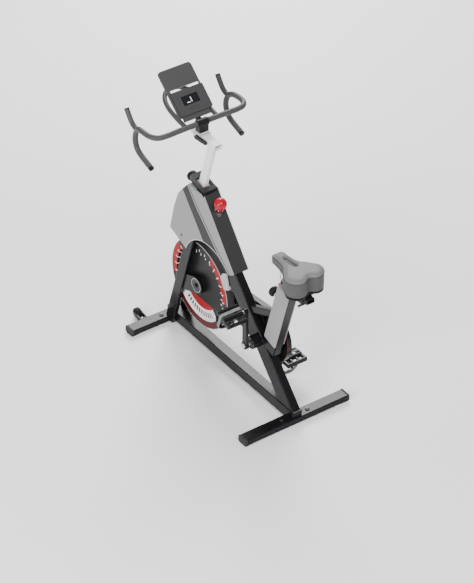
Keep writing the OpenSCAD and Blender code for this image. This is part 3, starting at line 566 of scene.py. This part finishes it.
# Console display. A dark clear window set into the console's pocket, with two plain
# light bars where the display lights up. They lie on the panel's slope.
window_part = (Vector((0.039, 0.077, 0.0016)), Vector((0.078, 0.002, 0.0108)))
lit_parts = (
    (Vector((0.021, 0.0036, 0.0006)), Vector((0.077, -0.001, 0.0117))),
    (Vector((0.0036, 0.016, 0.0006)), Vector((0.068, 0.014, 0.0117))),
)
window_edge = 0.0004
lit_edge = 0.0001
panel_tilt = math.radians(40.3)
panel_thick = 0.008
panel_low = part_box("tablet_panel")[0]
panel_foot = Vector((panel_low.x, 0, panel_low.z + panel_thick * math.cos(panel_tilt)))
on_panel = Matrix.Translation(panel_foot) @ Matrix.Rotation(-panel_tilt, 4, "Y")
window_clear = finished("display_window", (0.006, 0.006, 0.007), 0.12, scale=40, depth=0.1,
                        shine=0.5)
lit_bars = finished("display_bars", (0.85, 0.86, 0.86), 0.5, scale=400)
for name, parts, edge, material in (("console_window", [window_part], window_edge, window_clear),
                                    ("display_marks", lit_parts, lit_edge, lit_bars)):
    bm = bmesh.new()
    for size, place in parts:
        block(bm, size, place)
    round_edges(bm, edge)
    bmesh.ops.transform(bm, matrix=on_panel, verts=bm.verts)
    new_piece(name, bm, material, "bar_set")


# Transport wheels. Two small wheels of black rubber that turn on bolts through the
# brackets welded to the front floor tube.
roller_rubber = finished("roller_rubber", (0.010, 0.010, 0.010), 0.6, scale=500, depth=0.8)
dress(roller_rubber, "wheel_left", "wheel_right")


# Saddle. Foam under a grey vinyl skin, painted lighter on top as a painted highlight and
# darker down its sides as painted shade, with a relief groove along its middle painted in
# the same shade, and a thin dark piping where the top meets the sides.
skin_shrink = Vector((0.985, 0.965, 0.955))
skin_weld = 1e-5
skin_voxel = 0.005
skin_pressure = 4.0
skin_steps = 20
skin_travel = 0.006
smooth_passes = 2
piping_drop = 0.011
piping_tilt = 0.045
piping_r = 0.0013
piping_sides = 2
groove_x = (-0.435, -0.341)
groove_y = (-0.0145, 0.0145)
groove_rise = 0.0075
top_blur = 0.0008
shade_grey = (0.070, 0.070, 0.071, 1)
lit_top_grey = (0.15, 0.15, 0.153, 1)
saddle_low, saddle_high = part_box("saddle")
saddle_mid = (saddle_low + saddle_high) / 2
seam_level = saddle_high.z - piping_drop + piping_tilt * saddle_low.x

saddle_vinyl = finished("saddle_vinyl", (0.3, 0.3, 0.3), 0.5, shift=0.1, scale=650, depth=1.0)
tree = saddle_vinyl.node_tree
x, y, z = place_axes(tree)
level = calc(tree, "MULTIPLY_ADD", x, piping_tilt, z)
# Painted highlight above the seam level and painted shade below it: the same vinyl gets a lighter
# grey on top and a darker grey on its sides.
lit_top = within(tree, level, seam_level, seam_level + far, top_blur)
# Painted shade: the groove's walls and floor get the sides' darker grey, standing in for shade in
# the recess.
groove_shade = both(tree, within(tree, x, *groove_x), within(tree, y, *groove_y),
              within(tree, level, -far, seam_level + groove_rise))
paint = painted_over(tree, lit_top, shade_grey, lit_top_grey)
colour_by(saddle_vinyl, painted_over(tree, groove_shade, paint, shade_grey))


def final_mesh(piece):
    shown = piece.evaluated_get(bpy.context.evaluated_depsgraph_get())
    mesh = bpy.data.meshes.new_from_object(shown)
    piece.modifiers.clear()
    piece.data = mesh


bm = bmesh.new()
bm.from_mesh(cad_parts["saddle"].data)
bmesh.ops.remove_doubles(bm, verts=bm.verts, dist=skin_weld)
bmesh.ops.scale(bm, vec=skin_shrink, space=Matrix.Translation(-saddle_mid), verts=bm.verts)
saddle = new_piece("saddle_skin", bm, saddle_vinyl)
coarse = saddle.modifiers.new("coarse", "REMESH")
coarse.mode = "VOXEL"
coarse.voxel_size = skin_voxel
final_mesh(saddle)
sewn = [vertex.co.copy() for vertex in saddle.data.vertices]
puff = saddle.modifiers.new("puff", "CLOTH")
puff.settings.use_pressure = True
puff.settings.uniform_pressure_force = skin_pressure
puff.settings.effector_weights.gravity = 0
for step in range(1, skin_steps + 1):
    bpy.context.scene.frame_set(step)
final_mesh(saddle)
bpy.context.scene.frame_set(1)
for vertex, start in zip(saddle.data.vertices, sewn):
    move = vertex.co - start
    if move.length > skin_travel:
        vertex.co = start + move.normalized() * skin_travel
    vertex.co.z = max(vertex.co.z, saddle_low.z)
bm = bmesh.new()
bm.from_mesh(saddle.data)
for _ in range(smooth_passes):
    bmesh.ops.smooth_vert(bm, verts=bm.verts, factor=0.5, use_axis_x=True, use_axis_y=True,
                          use_axis_z=True)
for face in bm.faces:
    face.smooth = True
bm.to_mesh(saddle.data)
bm.free()
finer = saddle.modifiers.new("finer", "SUBSURF")
finer.levels = 1
finer.render_levels = 1
final_mesh(saddle)
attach(saddle, "saddle_set")
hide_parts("saddle")


# Piping. A thin dark cord sewn in all round the saddle, where its top meets its sides;
# it follows the line in which a slightly tilted plane cuts the finished skin.
bm = bmesh.new()
bm.from_mesh(saddle.data)
bmesh.ops.bisect_plane(bm, geom=bm.verts[:] + bm.edges[:] + bm.faces[:],
                       plane_co=(saddle_low.x, 0, saddle_high.z - piping_drop),
                       plane_no=(piping_tilt, 0, 1), clear_inner=True, clear_outer=True)
outline = bpy.data.meshes.new("piping_line")
bm.to_mesh(outline)
bm.free()
piping = bpy.data.objects.new("saddle_piping", outline)
bpy.context.scene.collection.objects.link(piping)
bpy.ops.object.select_all(action="DESELECT")
bpy.context.view_layer.objects.active = piping
piping.select_set(True)
bpy.ops.object.convert(target="CURVE")
piping.data.bevel_depth = piping_r
piping.data.bevel_resolution = piping_sides
bpy.ops.object.convert(target="MESH")
piping.select_set(False)
for polygon in piping.data.polygons:
    polygon.use_smooth = True
piping.data.materials.append(finished("piping_cord", (0.03, 0.03, 0.03), 0.6, scale=700))
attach(piping, "saddle_set")
